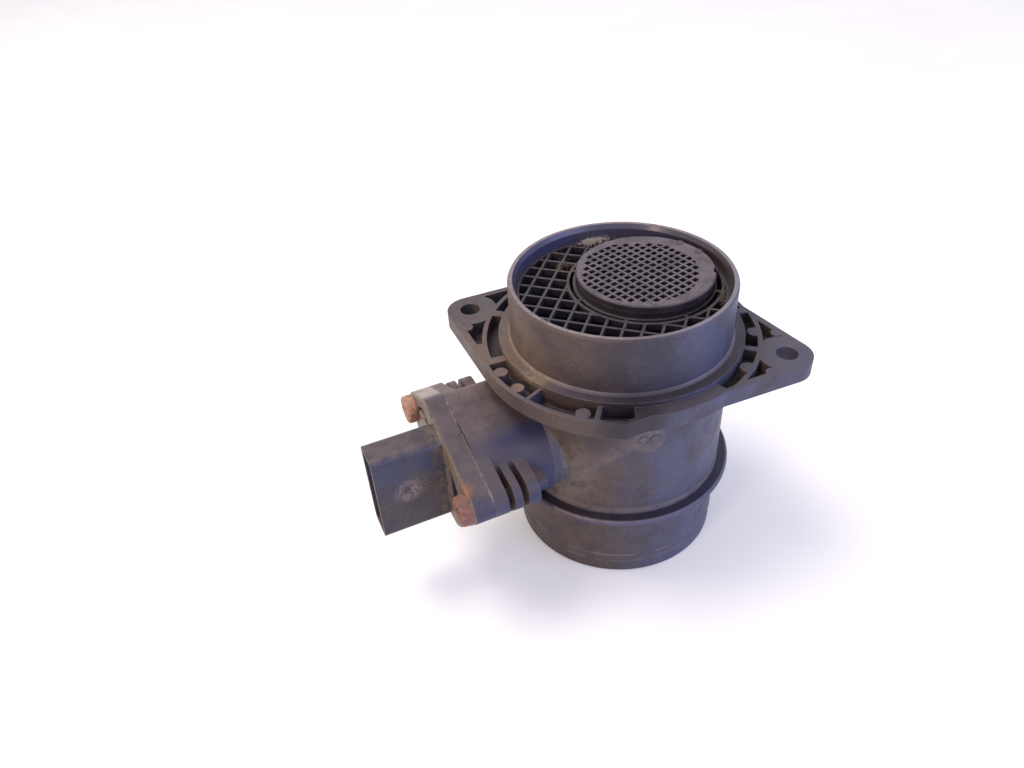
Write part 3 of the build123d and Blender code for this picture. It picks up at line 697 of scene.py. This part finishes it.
def rust_disc():
    """A disc over a screw head: its rim is sloped and its middle sunk.  Left in edit mode."""
    bpy.ops.object.select_all(action="DESELECT")
    bpy.ops.mesh.primitive_cylinder_add(vertices=48, radius=crust_radius * MM, depth=crust_height * MM,
                                        location=(0, 0, crust_height / 2 * MM))
    disc = bpy.context.object
    bpy.ops.object.transform_apply(location=True, rotation=True, scale=True)
    pick_top(disc)
    bpy.ops.mesh.inset(thickness=0.9 * MM)
    bpy.ops.transform.translate(value=(0, 0, 0.35 * MM))
    bpy.ops.mesh.inset(thickness=1.7 * MM)
    bpy.ops.mesh.inset(thickness=0.5 * MM)
    bpy.ops.transform.translate(value=(0, 0, -0.7 * MM))
    bpy.ops.mesh.inset(thickness=0.6 * MM)
    return disc


def rust_crust():
    """The disc, divided and swollen into lumps, standing on its base at the origin."""
    crust = rust_disc()
    bpy.ops.mesh.select_all(action="SELECT")
    bpy.ops.mesh.subdivide(number_cuts=3)
    bpy.ops.object.mode_set(mode="OBJECT")
    clouds = bpy.data.textures.new("rust_lumps", "CLOUDS")
    clouds.noise_scale = lump_mm * MM
    lumps = crust.modifiers.new("lumps", "DISPLACE")
    lumps.texture = clouds
    lumps.strength = swell_mm * MM
    lumps.mid_level = 0.55
    smooth = crust.modifiers.new("smooth", "SMOOTH")
    smooth.iterations = 2
    for modifier in (lumps.name, smooth.name):
        bpy.ops.object.modifier_apply(modifier=modifier)
    bpy.ops.object.shade_smooth()
    return crust


crust = rust_crust()
for head, twist in (("far", 0.0), ("near", 2.1)):
    seat = element_point(65.35, *screw_seats[head])
    settle(twin(crust), seat, outward, f"rust_{head}", rust, twist)
bpy.data.objects.remove(crust)

# %% [markdown]
# ## Fluff and debris in the inlet
# The air filter has let fibres and seed fluff through, and they hang where the gap is narrow:
# between the wall of the cup and the ring round the tube.  A tuft could be a particle system, but
# then it would be no mesh.  Here one curled fibre is made from a curve, turned into a mesh, and
# copied at seeded places and turns; the copies are joined into one piece.

# %% Fibre
random.seed(7)
fibre_mm = 2.0
fibre_thickness_mm = 0.09


def fluff_finish(name, dark, pale):
    """Cotton-like fibre: matt and pale, a little darker where it is dirty."""
    material, tree, shader = new_material(name)
    place = millimetres(tree)
    colour = coats(tree, linear(dark), (pale, patchy(tree, place, 1.2, 0.35, 0.6)))
    tree.links.new(colour, shader.inputs["Base Color"])
    shader.inputs["Roughness"].default_value = 0.95
    shader.inputs["Sheen Weight"].default_value = 0.3
    return material


def curled_fibre(length_mm, thickness_mm):
    """One fibre of an S shape at the origin, as a mesh."""
    bpy.ops.object.select_all(action="DESELECT")
    bpy.ops.curve.primitive_bezier_curve_add(radius=length_mm / 2 * MM)
    curve = bpy.context.object
    curve.data.bevel_depth = thickness_mm / 2 * MM
    curve.data.bevel_resolution = 0
    curve.data.resolution_u = 6
    curve.data.use_fill_caps = True
    bpy.ops.object.convert(target="MESH")
    return bpy.context.object


fluff = fluff_finish("cellulose_fluff", "#8d837f", "#beb3ab")
brown_fluff = fluff_finish("cellulose_dirty", "#4d4038", "#6d5c50")
fibre = curled_fibre(fibre_mm, fibre_thickness_mm)
print("fibre:", len(fibre.data.polygons), "faces")

# %% Tufts
lean = 0.7  # how far a strand may tip out of the level, in radians


def tuft(fibre, count, spread_mm, lift_mm):
    """Copies of a fibre, scattered round the origin and joined into one object."""
    strands = []
    for _ in range(count):
        strand = twin(fibre)
        spot_x, spot_y = (random.gauss(0, spread) * MM for spread in spread_mm)
        strand.location = (spot_x, spot_y, random.uniform(0, lift_mm) * MM)
        strand.rotation_euler = (random.uniform(-1, 1) * lean, random.uniform(-1, 1) * lean,
                                 random.uniform(0, math.tau))
        strand.scale = [random.uniform(0.5, 1.25)] * 3
        strands.append(strand)
    bpy.ops.object.select_all(action="DESELECT")
    for strand in strands:
        strand.select_set(True)
    bpy.context.view_layer.objects.active = strands[0]
    bpy.ops.object.join()
    bpy.ops.object.transform_apply(location=True, rotation=True, scale=True)
    return bpy.context.object


# name, seat, strands, spread along and across, lift, finish and turn in degrees
tufts = (("fluff_back", (-15.6, 26.2, 93.9), 420, (2.3, 0.8), 0.9, fluff, 37),
         ("fluff_left", (-21.3, 9.0, 93.7), 60, (1.3, 1.5), 0.4, brown_fluff, 10),
         ("fluff_right", (31.0, 0.4, 93.8), 50, (0.5, 2.2), 0.6, brown_fluff, 0))
for name, seat, count, spread, lift, material, angle in tufts:
    piece = tuft(fibre, count, spread, lift)
    settle(piece, Vector(seat) * MM, up, name, material, math.radians(angle))
bpy.data.objects.remove(fibre)

# %% [markdown]
# ## Floor
# A wide white board.  It is a real surface, so it keeps the soft shadow under the part and throws
# light back up at the plastic.  To the camera it also glows a little, which lifts the board to
# white and keeps the shadow pale without more light on the part.

# %% Floor
floor_size = 6
floor_glow = 0.2


def seen_directly(tree, otherwise, seen):
    """One value for rays from the camera and for those that metal and glass send on, another for light."""
    ray = add(tree, "ShaderNodeLightPath")
    direct = add(tree, "ShaderNodeMath", {0: ray["Is Camera Ray"], 1: ray["Is Glossy Ray"]},
                 operation="MAXIMUM")[0]
    direct = add(tree, "ShaderNodeMath", {0: direct, 1: ray["Is Transmission Ray"]},
                 operation="MAXIMUM")[0]
    return add(tree, "ShaderNodeMapRange", {"Value": direct, "To Min": otherwise, "To Max": seen})[0]


bpy.ops.object.select_all(action="DESELECT")
bpy.ops.mesh.primitive_plane_add(size=floor_size, location=(0, 0, 0))
floor = bpy.context.object
floor.name = "floor"
board, tree, shader = new_material("board_painted_white")
place = millimetres(tree)
board_colour = coats(tree, linear("#f1f0f3"), ("#f6f5f7", patchy(tree, place, 90.0)))
tree.links.new(board_colour, shader.inputs["Base Color"])
shader.inputs["Roughness"].default_value = 0.75
shader.inputs["Emission Color"].default_value = linear("#ffffff")
tree.links.new(seen_directly(tree, 0.0, floor_glow), shader.inputs["Emission Strength"])
floor.data.materials.append(board)
print("floor", tuple(floor.dimensions))

# %% [markdown]
# ## Light
# One soft ceiling lamp stands high on the left, so the shadow falls short and to the right.  A wide
# cool window on the right gives the bare plastic its blue side, and a small warm lamp low on the
# left draws the edges.  The sky lights the rest.  A lamp's power follows from how bright it should
# make a face at its distance, so that a colour comes out about as it was written.

# %% Light
sky_light = 0.55


def soft_light(name, azimuth, elevation, distance, size, brightness, hex_code):
    """A square lamp that looks at the part.  Brightness 1 shows a white face that looks at it as white."""
    data = bpy.data.lights.new(name, "AREA")
    data.shape = "SQUARE"
    data.size = size
    data.energy = brightness * math.pi ** 2 * distance ** 2
    data.color = linear(hex_code)[:3]
    lamp = bpy.data.objects.new(name, data)
    bpy.context.collection.objects.link(lamp)
    lamp.location = polar_point(azimuth, distance / MM * math.cos(math.radians(elevation)),
                                distance / MM * math.sin(math.radians(elevation)))
    lamp.rotation_euler = (-lamp.location).to_track_quat("-Z", "Y").to_euler()
    print(name, round(data.energy, 2), "W")


soft_light("ceiling", 185, 68, 1.3, 0.6, 0.58, "#fff4ea")
soft_light("window", -14, 22, 1.1, 0.8, 0.5, "#afb9ff")
soft_light("lamp", 247, 24, 1.1, 0.18, 0.2, "#ffdcc0")

world = bpy.data.worlds.new("studio")
bpy.context.scene.world = world
world.use_nodes = True
sky = world.node_tree
background = sky.nodes["Background"]
background.inputs["Color"].default_value = linear("#fbfaff")
sky.links.new(seen_directly(sky, sky_light, 1.0), background.inputs["Strength"])
print("sky", sky_light)
